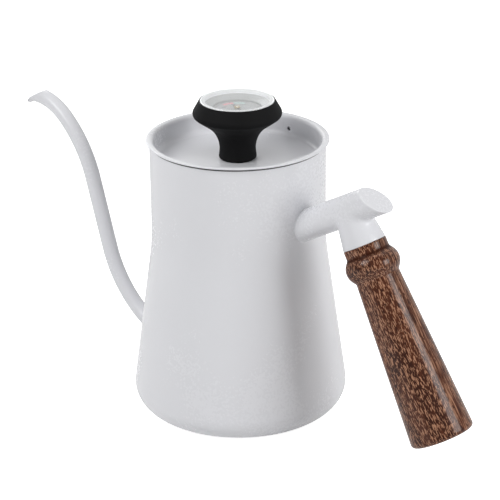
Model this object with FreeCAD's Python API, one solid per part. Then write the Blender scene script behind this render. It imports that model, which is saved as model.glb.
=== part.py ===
import FreeCAD, Part
import math
import os

# Gooseneck drip kettle: a thin steel body with a bent tube spout, a side grip of turned wood and a
# dished lid whose knob is a dial thermometer. Millimetres, degrees, +Z up. The origin is the middle
# of the flat underside, the spout points along -X and the grip along +X.

# Body of sheet steel
NECK_R = 40.5
BODY_H = 131.4
FLARE_Z = 83.0
FLARE_SLOPE = 7.9
FLARE_BLEND_R = 115.0
HEEL_R = 10.5
BODY_SHEET = 0.8
BASE_FLANGE = 3.0
BASE_SHEET = 0.8

# Spout, a bent tube that narrows nowhere
SPOUT_R = 3.8
SPOUT_WALL = 0.7
SPOUT_ROOT_Z = 17.3
SPOUT_ROOT_RISE = 17.4
SPOUT_LOW_BEND_R = 56.3
SPOUT_RUN = 35.5
SPOUT_RUN_RISE = 73.5
SPOUT_HIGH_BEND_R = 60.5
SPOUT_NECK_RISE = 41.0
SPOUT_TIP_BEND_R = 30.0
SPOUT_TIP_RISE = -11.5
SPOUT_BEAK_SLOPE = 30.0
SPOUT_LIP = 1.3

# Post of the handle, a tube that climbs away from the neck and ends in an oblique face
POST_R = 7.05
POST_WALL = 1.2
POST_BELOW_MOUTH = 32.2
POST_RISE = 29.0
POST_LENGTH = 45.5
POST_FACE_TILT = 37.0
POST_TO_GRIP = 29.2

# Ferrule under the post
FERRULE_TILT = 29.6
FERRULE_LENGTH = 16.5
FERRULE_TOP_R = 7.4
FERRULE_END_R = 9.95
FERRULE_WALL = 1.2
FERRULE_DISC = 2.5

# Wooden grip and its fixing
GRIP_LENGTH = 92.0
GRIP_COLLAR_R = 9.95
GRIP_COLLAR = 4.5
GRIP_BEAD_R = 12.45
GRIP_BEAD = 10.8
GRIP_WAIST_R = 10.05
GRIP_END_R = 14.75
GRIP_END_ROUND = 2.0
GRIP_CROWN = 1.2
STUD_R = 3.0
STUD_IN_FERRULE = 4.0
STUD_IN_GRIP = 28.0
INSERT_R = 4.5
INSERT_LENGTH = 16.0

# Lid, a dish that hangs in the mouth by its rim
LID_SHEET = 0.7
LID_FIT = 0.5
LID_DEPTH = 9.8
LID_DISH_ROUND = 2.5
RIM_OVERHANG = 1.5
RIM_DROP = 1.15
RIM_ROUND = 1.0
VENT_R = 1.0
VENT_ANGLE = 93.0
VENT_ABOVE_FLOOR = 3.4

# Knob of moulded rubber
KNOB_HEIGHT = 27.6
KNOB_NECK_R = 7.45
KNOB_FOOT_R = 8.85
KNOB_FOOT_ROUND = 1.2
KNOB_NECK_HEIGHT = 11.2
KNOB_NECK_BEND_R = 13.4
KNOB_BRIM_R = 21.15
KNOB_BRIM_HEIGHT = 21.0
KNOB_BRIM_ROUND = 2.3
KNOB_TOP_R = 17.4
KNOB_TOP_ROUND = 0.4
KNOB_LIP = 0.6

# Dial thermometer in the knob
LENS_R = 16.95
LENS_RIM = 0.9
LENS_DOME = 0.45
LENS_EDGE_ROUND = 0.4
LENS_PLUG = 1.1
LENS_SKIRT = 1.0
HEAD_R = 15.9
CASE_SHEET = 0.5
CASE_STEP_R = 13.4
CASE_WELL = 1.1
CASE_RIM = 3.4
GASKET_WIDTH = 0.9
GASKET = 0.5
DIAL_PLATE = 0.4
BEZEL_R = 11.2
BEZEL_LAND = 0.4
BEZEL_STEP = 0.9
BEZEL_ROUND = 0.35
BUSH_R = 4.0
BUSH_BELOW_LID = 6.0
SEAL_R = 8.0
SEAL = 1.0
NUT_FLATS = 13.0
NUT_HEIGHT = 4.0
STEM_R = 2.0
STEM_WALL = 0.35
STEM_LENGTH = 84.0
STEM_PLUG = 3.0
GUIDE_LENGTH = 5.0

# Pointer and what turns it
SPINDLE_R = 0.45
SPINDLE_IN_COIL = 6.0
POINTER_GAP = 1.0
POINTER_TAIL = 4.0
POINTER_WIDTH = 1.4
POINTER_SHEET = 0.3
POINTER_ABOVE_DIAL = 0.5
POINTER_ANGLE = 333.0
HUB_R = 1.3
HUB_ABOVE = 0.3
HUB_BELOW = 0.2
COIL_WIRE_R = 0.22
COIL_PITCH = 0.9
COIL_TURNS = 14

# Clearances of the fits
WELD_GAP = 0.05
SLIP_GAP = 0.05
COIL_GAP = 0.2

Z_AXIS = FreeCAD.Vector(0, 0, 1)
ORIGIN = FreeCAD.Vector(0, 0, 0)


# Outlines and solids that several pieces are made with

def flat_point(point):
    return FreeCAD.Vector(point[0], 0, point[1])


def straight(start, end):
    return Part.LineSegment(flat_point(start), flat_point(end)).toShape()


def bow(start, middle, end):
    return Part.Arc(flat_point(start), flat_point(middle), flat_point(end)).toShape()


def dome(edge, height):
    """A shallow arc, square to the axis at its top, from an edge point up to the axis."""
    radius = (edge[0] ** 2 + height ** 2) / (2 * height)
    half_span = math.asin(edge[0] / radius) / 2
    top_z = edge[1] + height
    middle = (radius * math.sin(half_span), top_z - radius * (1 - math.cos(half_span)))
    return bow(edge, middle, (0, top_z))


def left_of(direction):
    return (-direction[1], direction[0])


def moved(point, direction, distance):
    return (point[0] + direction[0] * distance, point[1] + direction[1] * distance)


def unit(direction):
    length = math.hypot(direction[0], direction[1])
    return (direction[0] / length, direction[1] / length)


def heading(start, end):
    return unit((end[0] - start[0], end[1] - start[1]))


def rounded_path(corners, offset=0.0):
    """Edges along (radius, height, rounding) corners, the whole path shifted to its left."""
    edges = []
    first_way = left_of(heading(corners[0], corners[1]))
    here = moved(corners[0], first_way, offset)
    begin = here
    for before, corner, after in zip(corners, corners[1:], corners[2:]):
        way_in = heading(before, corner)
        way_out = heading(corner, after)
        cross = way_in[0] * way_out[1] - way_in[1] * way_out[0]
        side = 1.0 if cross > 0 else -1.0
        half_turn = math.atan2(abs(cross), way_in[0] * way_out[0] + way_in[1] * way_out[1]) / 2
        setback = corner[2] * math.tan(half_turn)
        arc_start = moved(corner, way_in, -setback)
        centre = moved(arc_start, left_of(way_in), side * corner[2])
        radius = corner[2] - side * offset
        normal_in = left_of(way_in)
        normal_out = left_of(way_out)
        normal_mid = unit((normal_in[0] + normal_out[0], normal_in[1] + normal_out[1]))
        if corner[2] > 0:
            start = moved(centre, normal_in, -side * radius)
            middle = moved(centre, normal_mid, -side * radius)
            end = moved(centre, normal_out, -side * radius)
            edges.append(straight(here, start))
            edges.append(bow(start, middle, end))
        else:
            end = moved(corner, normal_mid, offset / math.cos(half_turn))
            edges.append(straight(here, end))
        here = end
    last_way = left_of(heading(corners[-2], corners[-1]))
    finish = moved(corners[-1], last_way, offset)
    edges.append(straight(here, finish))
    return edges, begin, finish


def turned_face(edges):
    wire = Part.Wire(Part.__sortEdges__(edges))
    return Part.Face(wire).revolve(ORIGIN, Z_AXIS, 360)


def turned_solid(corners):
    """A solid turned about Z from a closed outline of (radius, height, rounding) corners."""
    edges, begin, finish = rounded_path(corners)
    edges.append(straight(finish, begin))
    return turned_face(edges)


def turned_sheet(corners, sheet):
    """A sheet of even thickness, turned about Z, that lies on the left of its path."""
    outside, begin, finish = rounded_path(corners)
    inside, inner_begin, inner_finish = rounded_path(corners, sheet)
    caps = [straight(begin, inner_begin), straight(finish, inner_finish)]
    return turned_face(outside + inside + caps)


def rod(radius, start_z, end_z):
    return Part.makeCylinder(radius, end_z - start_z, FreeCAD.Vector(0, 0, start_z), Z_AXIS)


def ring(inner, outer, start_z, end_z):
    return rod(outer, start_z, end_z).cut(rod(inner, start_z, end_z))


# Places that several pieces share

SLOPE = math.tan(math.radians(FLARE_SLOPE))
FOOT_R = NECK_R + FLARE_Z * SLOPE
HEEL_SETBACK = HEEL_R / math.tan(math.radians(90 - FLARE_SLOPE) / 2)
HEEL_FLAT_R = FOOT_R - HEEL_SETBACK
BASE_HOLE_R = HEEL_FLAT_R - BASE_FLANGE
BODY_CORNERS = [
    (NECK_R, BODY_H, 0),
    (NECK_R, FLARE_Z, FLARE_BLEND_R),
    (FOOT_R, 0, HEEL_R),
    (BASE_HOLE_R, 0, 0),
]

FLOOR_Z = BODY_H + LID_SHEET - LID_DEPTH
LID_UNDER_Z = FLOOR_Z - LID_SHEET
KNOB_TOP_Z = FLOOR_Z + KNOB_HEIGHT
SEAT_Z = KNOB_TOP_Z - KNOB_LIP
PLUG_Z = SEAT_Z - LENS_PLUG
CASE_RIM_Z = PLUG_Z - GASKET
DIAL_Z = CASE_RIM_Z - CASE_RIM + CASE_SHEET
CASE_Z = DIAL_Z - CASE_WELL - CASE_SHEET
CASE_FLOOR_Z = CASE_Z + CASE_SHEET
STEM_END_Z = LID_UNDER_Z - STEM_LENGTH
COIL_FOOT_Z = STEM_END_Z + STEM_R + STEM_PLUG + COIL_WIRE_R
POINTER_Z = DIAL_Z + DIAL_PLATE + POINTER_ABOVE_DIAL
HUB_TOP_Z = POINTER_Z + POINTER_SHEET + HUB_ABOVE


def body_block(growth):
    """The full outside of the body, without its hollow, larger all round by the growth."""
    edges, begin, finish = rounded_path(BODY_CORNERS, growth)
    edges.append(straight(begin, (0, begin[1])))
    edges.append(straight((0, begin[1]), (0, finish[1])))
    edges.append(straight((0, finish[1]), finish))
    return turned_face(edges)


def upright_to(point, direction):
    """The placement that lays the Z axis along a direction, from a point in the XZ plane."""
    turn = FreeCAD.Rotation(Z_AXIS, FreeCAD.Vector(direction[0], 0, direction[1]))
    return FreeCAD.Placement(flat_point(point), turn)


def set_along(shape, point, direction):
    placed = shape.copy()
    placed.Placement = upright_to(point, direction)
    return placed


def slope_way(angle):
    return (math.cos(math.radians(angle)), math.sin(math.radians(angle)))


POST_ROOT = (NECK_R, BODY_H - POST_BELOW_MOUTH)
POST_WAY = slope_way(POST_RISE)
GRIP_CROSS = moved(POST_ROOT, POST_WAY, POST_TO_GRIP)
GRIP_WAY = slope_way(FERRULE_TILT - 90)
FERRULE_END = moved(GRIP_CROSS, GRIP_WAY, FERRULE_LENGTH)


# Body

def spout_route(start_back):
    """The spout's centreline, from a stub inside the wall to past its tip."""
    wall_r = FOOT_R - SPOUT_ROOT_Z * SLOPE
    rise = SPOUT_ROOT_RISE
    here = moved((-wall_r, SPOUT_ROOT_Z), slope_way(180 - rise), -start_back)
    root = (-wall_r, SPOUT_ROOT_Z)
    edges = [straight(here, root)]
    here = root
    bends = [
        (SPOUT_LOW_BEND_R, SPOUT_RUN_RISE, SPOUT_RUN),
        (SPOUT_HIGH_BEND_R, SPOUT_NECK_RISE, 0),
        (SPOUT_TIP_BEND_R, SPOUT_TIP_RISE, 0),
    ]
    for radius, new_rise, run in bends:
        side = 1.0 if new_rise > rise else -1.0
        centre = moved(here, slope_way(90 - rise), side * radius)
        middle_rise = (rise + new_rise) / 2
        middle = moved(centre, slope_way(90 - middle_rise), -side * radius)
        end = moved(centre, slope_way(90 - new_rise), -side * radius)
        edges.append(bow(here, middle, end))
        here = end
        rise = new_rise
        if run > 0:
            far = moved(here, slope_way(180 - rise), run)
            edges.append(straight(here, far))
            here = far
    return Part.Wire(edges), here


def pipe(route, radius):
    start = route.Edges[0]
    way = start.tangentAt(start.FirstParameter)
    section = Part.Wire(Part.makeCircle(radius, start.valueAt(start.FirstParameter), way))
    return route.makePipeShell([section], True, False)


def spout_tube():
    route, tip = spout_route(3 * SPOUT_R)
    tube = pipe(route, SPOUT_R).cut(pipe(route, SPOUT_R - SPOUT_WALL))
    lip = moved(tip, slope_way(90 - SPOUT_TIP_RISE), SPOUT_LIP - SPOUT_R)
    beak_corner = FreeCAD.Vector(-4 * SPOUT_R, -2 * SPOUT_R, 0)
    beak = Part.makeBox(8 * SPOUT_R, 4 * SPOUT_R, 8 * SPOUT_R, beak_corner)
    tube = tube.cut(set_along(beak, lip, slope_way(90 + SPOUT_BEAK_SLOPE)))
    return tube.cut(body_block(-BODY_SHEET))


def body_shell():
    shell = turned_sheet(BODY_CORNERS, -BODY_SHEET)
    wall_r = FOOT_R - SPOUT_ROOT_Z * SLOPE
    drill = rod(SPOUT_R + WELD_GAP, -3 * SPOUT_R, 3 * SPOUT_R)
    return shell.cut(set_along(drill, (-wall_r, SPOUT_ROOT_Z), slope_way(180 - SPOUT_ROOT_RISE)))


def base_plate():
    plug = rod(BASE_HOLE_R - WELD_GAP, 0, BODY_SHEET)
    return plug.fuse(rod(HEEL_FLAT_R - WELD_GAP, BODY_SHEET, BODY_SHEET + BASE_SHEET)).removeSplitter()


# Handle

def post_block(radius, far):
    return set_along(rod(radius, -NECK_R, far), POST_ROOT, POST_WAY)


def post_face_cut(depth):
    """Everything beyond the post's oblique end face, or beyond a plane that deep under it."""
    size = 6 * POST_R
    block = Part.makeBox(2 * size, 2 * size, 2 * size, FreeCAD.Vector(-size, -size, -depth))
    face_middle = moved(POST_ROOT, POST_WAY, POST_LENGTH)
    return set_along(block, face_middle, slope_way(POST_RISE + POST_FACE_TILT))


def handle_post():
    far = POST_LENGTH + 3 * POST_R
    tube = post_block(POST_R, far).cut(post_block(POST_R - POST_WALL, far))
    return tube.cut(post_face_cut(0)).cut(body_block(WELD_GAP))


def post_end_plate():
    core = post_block(POST_R - POST_WALL - WELD_GAP, POST_LENGTH + 3 * POST_R)
    return core.common(post_face_cut(POST_WALL)).cut(post_face_cut(0))


def grip_ferrule():
    inner_top = FERRULE_TOP_R - FERRULE_WALL
    inner_end = FERRULE_END_R - FERRULE_WALL
    cone = Part.makeCone(FERRULE_TOP_R, FERRULE_END_R, FERRULE_LENGTH)
    cone = cone.cut(Part.makeCone(inner_top, inner_end, FERRULE_LENGTH))
    cone = set_along(cone, GRIP_CROSS, GRIP_WAY)
    return cone.cut(post_block(POST_R + WELD_GAP, POST_LENGTH + 3 * POST_R))


def ferrule_disc():
    taper = (FERRULE_END_R - FERRULE_TOP_R) / FERRULE_LENGTH
    end_r = FERRULE_END_R - FERRULE_WALL - WELD_GAP
    disc = Part.makeCone(end_r - taper * FERRULE_DISC, end_r, FERRULE_DISC)
    disc = disc.cut(rod(STUD_R + WELD_GAP, 0, FERRULE_DISC))
    return set_along(disc, moved(FERRULE_END, GRIP_WAY, -FERRULE_DISC), GRIP_WAY)


def grip_stud():
    stud = rod(STUD_R, -FERRULE_DISC - STUD_IN_FERRULE, STUD_IN_GRIP)
    return set_along(stud.makeChamfer(STUD_R / 6, stud.Edges), FERRULE_END, GRIP_WAY)


def grip_insert():
    insert = ring(STUD_R + WELD_GAP, INSERT_R, 0, INSERT_LENGTH)
    return set_along(insert, FERRULE_END, GRIP_WAY)


def wood_grip():
    bead_end = GRIP_COLLAR + GRIP_BEAD
    bead_middle = GRIP_COLLAR + GRIP_BEAD / 2
    taper_corners = [
        (GRIP_WAIST_R, bead_end, 0),
        (GRIP_END_R, GRIP_LENGTH, GRIP_END_ROUND),
        (GRIP_END_R - 2 * GRIP_END_ROUND, GRIP_LENGTH, 0),
    ]
    edges, taper_start, taper_finish = rounded_path(taper_corners)
    edges.append(dome(taper_finish, GRIP_CROWN))
    collar_end = (GRIP_COLLAR_R, GRIP_COLLAR)
    edges.append(bow(collar_end, (GRIP_BEAD_R, bead_middle), taper_start))
    edges.append(straight((GRIP_COLLAR_R, 0), collar_end))
    edges.append(straight((0, 0), (GRIP_COLLAR_R, 0)))
    edges.append(straight((0, GRIP_LENGTH + GRIP_CROWN), (0, 0)))
    grip = turned_face(edges)
    grip = grip.cut(rod(INSERT_R + WELD_GAP, 0, INSERT_LENGTH))
    grip = grip.cut(rod(STUD_R + WELD_GAP, 0, STUD_IN_GRIP + WELD_GAP))
    return set_along(grip, FERRULE_END, GRIP_WAY)


# Lid and its knob

def lid_pan():
    dish_r = NECK_R - BODY_SHEET - LID_FIT - LID_SHEET
    rim_r = NECK_R + RIM_OVERHANG
    rim_z = BODY_H + LID_SHEET
    corners = [
        (BUSH_R + SLIP_GAP, FLOOR_Z, 0),
        (dish_r, FLOOR_Z, LID_DISH_ROUND),
        (dish_r, rim_z, RIM_ROUND),
        (rim_r, rim_z, RIM_ROUND),
        (rim_r, rim_z - RIM_DROP, 0),
    ]
    pan = turned_sheet(corners, -LID_SHEET)
    drill = Part.makeCylinder(VENT_R, 2 * LID_FIT + 4 * LID_SHEET, FreeCAD.Vector(dish_r - LID_SHEET, 0, 0),
                              FreeCAD.Vector(1, 0, 0))
    drill.rotate(ORIGIN, Z_AXIS, VENT_ANGLE)
    drill.translate(FreeCAD.Vector(0, 0, FLOOR_Z + VENT_ABOVE_FLOOR))
    return pan.cut(drill)


def knob_grip():
    corners = [
        (BUSH_R + SLIP_GAP, FLOOR_Z, 0),
        (KNOB_FOOT_R, FLOOR_Z, KNOB_FOOT_ROUND),
        (KNOB_NECK_R, FLOOR_Z + KNOB_NECK_HEIGHT, KNOB_NECK_BEND_R),
        (KNOB_BRIM_R, FLOOR_Z + KNOB_BRIM_HEIGHT, KNOB_BRIM_ROUND),
        (KNOB_TOP_R, KNOB_TOP_Z, KNOB_TOP_ROUND),
        (LENS_R + SLIP_GAP, KNOB_TOP_Z, 0),
        (LENS_R + SLIP_GAP, SEAT_Z, 0),
        (HEAD_R + SLIP_GAP, SEAT_Z, 0),
        (HEAD_R + SLIP_GAP, CASE_Z, 0),
        (BUSH_R + SLIP_GAP, CASE_Z, 0),
    ]
    return turned_solid(corners)


def knob_seal():
    return ring(BUSH_R + SLIP_GAP, SEAL_R, LID_UNDER_Z - SEAL, LID_UNDER_Z)


def lock_nut():
    top = LID_UNDER_Z - SEAL
    corner_r = NUT_FLATS / 2 / math.cos(math.radians(30))
    corners = []
    for step in range(7):
        turn = math.radians(60 * step)
        corner = (corner_r * math.cos(turn), corner_r * math.sin(turn), top - NUT_HEIGHT)
        corners.append(FreeCAD.Vector(*corner))
    hexagon = Part.Face(Part.makePolygon(corners)).extrude(FreeCAD.Vector(0, 0, NUT_HEIGHT))
    return hexagon.cut(rod(BUSH_R + SLIP_GAP, top - NUT_HEIGHT, top))


# Thermometer

def neck_bush():
    return ring(STEM_R + SLIP_GAP, BUSH_R, LID_UNDER_Z - BUSH_BELOW_LID, CASE_Z)


def thermometer_case():
    step_z = DIAL_Z - CASE_SHEET
    corners = [
        (STEM_R + SLIP_GAP, CASE_Z, 0),
        (CASE_STEP_R, CASE_Z, 0),
        (CASE_STEP_R, step_z, 0),
        (HEAD_R, step_z, 0),
        (HEAD_R, CASE_RIM_Z, 0),
    ]
    return turned_sheet(corners, CASE_SHEET)


def dial_plate():
    return ring(SPINDLE_R + COIL_GAP, HEAD_R - CASE_SHEET - SLIP_GAP, DIAL_Z, DIAL_Z + DIAL_PLATE)


def dial_bezel():
    """A ring that slopes from the case's rim down to the dial, with a rounded inner edge."""
    outer = HEAD_R - CASE_SHEET - SLIP_GAP
    foot_z = DIAL_Z + DIAL_PLATE
    corners = [
        (outer, foot_z, 0),
        (outer, CASE_RIM_Z, 0),
        (outer - BEZEL_LAND, CASE_RIM_Z, 0),
        (BEZEL_R, foot_z + BEZEL_STEP, BEZEL_ROUND),
        (BEZEL_R, foot_z, 0),
    ]
    return turned_solid(corners)


def lens_gasket():
    return ring(HEAD_R - GASKET_WIDTH, HEAD_R, CASE_RIM_Z, PLUG_Z)


def lens():
    rim_z = SEAT_Z + LENS_RIM
    edge_r = LENS_R - LENS_EDGE_ROUND
    corner_drop = LENS_EDGE_ROUND * (1 - math.sqrt(0.5))
    edge_middle = (LENS_R - corner_drop, rim_z - corner_drop)
    skirt_r = HEAD_R - LENS_SKIRT
    edges = [
        straight((0, SEAT_Z), (skirt_r, SEAT_Z)),
        straight((skirt_r, SEAT_Z), (skirt_r, PLUG_Z)),
        straight((skirt_r, PLUG_Z), (HEAD_R, PLUG_Z)),
        straight((HEAD_R, PLUG_Z), (HEAD_R, SEAT_Z)),
        straight((HEAD_R, SEAT_Z), (LENS_R, SEAT_Z)),
        straight((LENS_R, SEAT_Z), (LENS_R, rim_z - LENS_EDGE_ROUND)),
        bow((LENS_R, rim_z - LENS_EDGE_ROUND), edge_middle, (edge_r, rim_z)),
        dome((edge_r, rim_z), LENS_DOME),
        straight((0, rim_z + LENS_DOME), (0, SEAT_Z)),
    ]
    return turned_face(edges)


def stem_tube():
    return ring(STEM_R - STEM_WALL, STEM_R, STEM_END_Z + STEM_R, CASE_FLOOR_Z)


def stem_tip():
    cap = Part.makeSphere(STEM_R, FreeCAD.Vector(0, 0, STEM_END_Z + STEM_R), Z_AXIS, -90, 0)
    plug = rod(STEM_R - STEM_WALL - WELD_GAP, STEM_END_Z + STEM_R, STEM_END_Z + STEM_R + STEM_PLUG)
    return cap.fuse(plug).removeSplitter()


def spindle_guide():
    outer = STEM_R - STEM_WALL - WELD_GAP
    return ring(SPINDLE_R + SLIP_GAP, outer, CASE_FLOOR_Z - GUIDE_LENGTH, CASE_FLOOR_Z)


def bimetal_coil():
    """A coil wound round the spindle's foot, standing on the plug that closes the stem."""
    turn_r = STEM_R - STEM_WALL - COIL_GAP - COIL_WIRE_R

    def place(turns):
        turn = 2 * math.pi * turns
        height = COIL_FOOT_Z + COIL_PITCH * turns
        return FreeCAD.Vector(turn_r * math.cos(turn), turn_r * math.sin(turn), height)

    edges = []
    for quarter in range(4 * COIL_TURNS):
        start = quarter / 4
        edges.append(Part.Arc(place(start), place(start + 0.125), place(start + 0.25)).toShape())
    return pipe(Part.Wire(edges), COIL_WIRE_R)


# Pointer

def spindle():
    return rod(SPINDLE_R, COIL_FOOT_Z + COIL_PITCH * COIL_TURNS - SPINDLE_IN_COIL, HUB_TOP_Z)


def pointer_hub():
    return ring(SPINDLE_R + WELD_GAP, HUB_R, POINTER_Z - HUB_BELOW, HUB_TOP_Z).cut(
        ring(SPINDLE_R + WELD_GAP, HUB_R, POINTER_Z, POINTER_Z + POINTER_SHEET).cut(
            rod((SPINDLE_R + HUB_R) / 2, POINTER_Z, POINTER_Z + POINTER_SHEET)))


def pointer():
    half = POINTER_WIDTH / 2
    reach = BEZEL_R - POINTER_GAP
    outline = [(-POINTER_TAIL, -half), (0, -half), (reach, 0), (0, half), (-POINTER_TAIL, half)]
    points = [FreeCAD.Vector(x, y, POINTER_Z) for x, y in outline + outline[:1]]
    needle = Part.Face(Part.makePolygon(points)).extrude(FreeCAD.Vector(0, 0, POINTER_SHEET))
    needle = needle.fuse(rod(HUB_R, POINTER_Z, POINTER_Z + POINTER_SHEET)).removeSplitter()
    needle = needle.cut(rod((SPINDLE_R + HUB_R) / 2 + WELD_GAP, POINTER_Z, POINTER_Z + POINTER_SHEET))
    needle.rotate(ORIGIN, Z_AXIS, POINTER_ANGLE)
    return needle


PIECES = {
    "body_shell": body_shell,
    "base_plate": base_plate,
    "spout_tube": spout_tube,
    "handle_post": handle_post,
    "post_end_plate": post_end_plate,
    "grip_ferrule": grip_ferrule,
    "ferrule_disc": ferrule_disc,
    "grip_stud": grip_stud,
    "grip_insert": grip_insert,
    "wood_grip": wood_grip,
    "lid_pan": lid_pan,
    "knob_grip": knob_grip,
    "knob_seal": knob_seal,
    "lock_nut": lock_nut,
    "neck_bush": neck_bush,
    "thermometer_case": thermometer_case,
    "dial_plate": dial_plate,
    "dial_bezel": dial_bezel,
    "lens_gasket": lens_gasket,
    "lens": lens,
    "stem_tube": stem_tube,
    "stem_tip": stem_tip,
    "spindle_guide": spindle_guide,
    "bimetal_coil": bimetal_coil,
    "spindle": spindle,
    "pointer_hub": pointer_hub,
    "pointer": pointer,
}

os.makedirs("parts", exist_ok=True)
for node, make in PIECES.items():
    piece = make()
    box = piece.BoundBox
    print(f"{node}: solids {len(piece.Solids)}, valid {piece.isValid()}, volume {piece.Volume:.1f},"
          f" X {box.XMin:.1f} to {box.XMax:.1f}, Z {box.ZMin:.1f} to {box.ZMax:.1f}")
    piece.exportStep(f"parts/{node}.step")
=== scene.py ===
import math

import bmesh
import bpy
from mathutils import Matrix, Vector


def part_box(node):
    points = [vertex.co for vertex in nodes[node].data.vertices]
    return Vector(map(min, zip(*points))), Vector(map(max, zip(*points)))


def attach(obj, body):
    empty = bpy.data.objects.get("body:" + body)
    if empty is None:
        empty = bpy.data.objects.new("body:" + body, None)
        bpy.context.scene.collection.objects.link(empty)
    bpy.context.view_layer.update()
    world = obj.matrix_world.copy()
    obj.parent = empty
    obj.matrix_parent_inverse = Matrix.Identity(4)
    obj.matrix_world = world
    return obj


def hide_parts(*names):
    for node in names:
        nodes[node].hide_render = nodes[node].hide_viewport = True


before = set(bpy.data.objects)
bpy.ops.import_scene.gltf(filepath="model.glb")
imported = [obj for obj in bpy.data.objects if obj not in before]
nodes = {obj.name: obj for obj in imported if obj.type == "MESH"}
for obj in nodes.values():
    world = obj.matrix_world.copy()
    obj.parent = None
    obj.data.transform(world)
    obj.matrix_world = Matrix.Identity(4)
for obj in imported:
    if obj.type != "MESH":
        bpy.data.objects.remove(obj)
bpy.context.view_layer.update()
MM = 0.001


# Body shell: one sheet of stainless steel, drawn to a straight neck, a flare and a rounded heel.
# It is powder coated white outside and left bare and brushed inside. A near-black band at its rolled
# mouth is painted shade, the shadow line under the lid's rim.
NECK_R = 40.5 * MM
BODY_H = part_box("body_shell")[1].z
FLARE_Z = 83.0 * MM
FLARE_SLOPE = math.tan(math.radians(7.9))
FLARE_BLEND_R = 115.0 * MM
HEEL_R = 10.5 * MM
FOOT_R = NECK_R + FLARE_Z * FLARE_SLOPE
BODY_SHEET = 0.8 * MM
BASE_LEDGE = 3.0 * MM
BASE_HOLE_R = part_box("base_plate")[1].x - BASE_LEDGE
ROUND_TURNS = 160
DRILL_TURNS = 48
COAT_LIGHT = (0.835, 0.84, 0.87, 1)
COAT_SHADE = (0.79, 0.795, 0.825, 1)
STEEL_LIGHT = (0.78, 0.78, 0.79, 1)
STEEL_DARK = (0.64, 0.64, 0.65, 1)
# Painted shade: near-black colours for the band at the mouth, standing in for the shadow under the lid's
# rim.
MOUTH_SHADE_LIGHT = (0.09, 0.09, 0.09, 1)
MOUTH_SHADE_DARK = (0.05, 0.05, 0.05, 1)
NOISE_SPREAD = (0.3, 0.7)
LINE_BUMP = (0.15, 0.05 * MM)


def add_run(points, end, longest):
    """Lengthens a row of points by a straight run, in lengths no longer than the longest."""
    start = points[-1]
    count = max(1, math.ceil((end - start).length / longest))
    for step in range(1, count + 1):
        points.append(start.lerp(end, step / count))


def rounded_outline(corners, turn_step=math.radians(4), run_step=4 * MM):
    """Points along (radius, height, rounding) corners, with an arc at each rounded one."""
    points = [Vector(corners[0][:2])]
    for before, corner, after in zip(corners, corners[1:], corners[2:]):
        here = Vector(corner[:2])
        rounding = corner[2]
        way_in = (here - Vector(before[:2])).normalized()
        way_out = (Vector(after[:2]) - here).normalized()
        turn = math.atan2(way_in.x * way_out.y - way_in.y * way_out.x, way_in.dot(way_out))
        arc_start = here - way_in * rounding * math.tan(abs(turn) / 2)
        add_run(points, arc_start, run_step)
        if rounding > 0:
            inward = Vector((-way_in.y, way_in.x)) * math.copysign(rounding, turn)
            steps = max(2, math.ceil(abs(turn) / turn_step))
            for step in range(1, steps + 1):
                arm = -inward
                arm.rotate(Matrix.Rotation(turn * step / steps, 2))
                points.append(arc_start + inward + arm)
    add_run(points, Vector(corners[-1][:2]), run_step)
    return points


def rolled_edge(first, last, outward, steps=6):
    """The half circle that closes the edge of a sheet."""
    middle = (first + last) / 2
    arm = first - middle
    turns = [math.pi * step / steps for step in range(1, steps)]
    return [middle + arm * math.cos(t) + outward * arm.length * math.sin(t) for t in turns]


def sheet_outline(path, sheet):
    """A closed outline round a sheet on the right of its path, and which of its sides are the path's."""
    ways = [(ahead - here).normalized() for here, ahead in zip(path, path[1:])]
    ways_in = [ways[0]] + ways
    ways_out = ways + [ways[-1]]
    back = []
    for point, way_in, way_out in zip(path, ways_in, ways_out):
        way = (way_in + way_out).normalized()
        back.append(point + Vector((way.y, -way.x)) * sheet)
    far_edge = rolled_edge(path[-1], back[-1], ways[-1])
    near_edge = rolled_edge(back[0], path[0], -ways[0])
    outline = path + far_edge + back[::-1] + near_edge
    front_sides = len(path) + len(far_edge) // 2
    skins = [0 if side < front_sides else 1 for side in range(len(outline))]
    return outline, skins


def ring_mesh(name, rings, looped, skins=None):
    """A closed mesh through rings of points, joined end to end or capped at both ends."""
    made = bmesh.new()
    rows = [[made.verts.new(point) for point in ring] for ring in rings]
    pairs = list(zip(rows, rows[1:]))
    if looped:
        pairs.append((rows[-1], rows[0]))
    for low, high in pairs:
        for side in range(len(low)):
            after = (side + 1) % len(low)
            face = made.faces.new((low[side], low[after], high[after], high[side]))
            face.material_index = skins[side] if skins else 0
    for row in () if looped else (rows[0], rows[-1]):
        middle = made.verts.new(sum((vert.co for vert in row), Vector()) / len(row))
        for side in range(len(row)):
            made.faces.new((row[side - 1], row[side], middle))
    bmesh.ops.remove_doubles(made, verts=made.verts, dist=1e-7)
    bmesh.ops.dissolve_degenerate(made, edges=made.edges, dist=1e-8)
    bmesh.ops.recalc_face_normals(made, faces=made.faces)
    mesh = bpy.data.meshes.new(name)
    made.to_mesh(mesh)
    made.free()
    return mesh


def level_way(bearing):
    return Vector((math.cos(bearing), math.sin(bearing), 0))


def rising_way(rise):
    """A direction in the XZ plane, from +X up."""
    return Vector((math.cos(rise), 0, math.sin(rise)))


def quarter_turn(steps):
    return [math.pi / 2 * step / steps for step in range(1, steps + 1)]


def full_turn(count):
    """Angles evenly spaced round a full turn."""
    return [2 * math.pi * step / count for step in range(count)]


def turned_mesh(name, outline, turns, skins=None):
    """A closed outline of (radius, height) points turned about Z."""
    rings = []
    for angle in full_turn(turns):
        across, along = math.cos(angle), math.sin(angle)
        rings.append([Vector((point.x * across, point.x * along, point.y)) for point in outline])
    return ring_mesh(name, rings, True, skins)


def loose_object(name, data):
    made = bpy.data.objects.new(name, data)
    bpy.context.scene.collection.objects.link(made)
    return made


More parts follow.
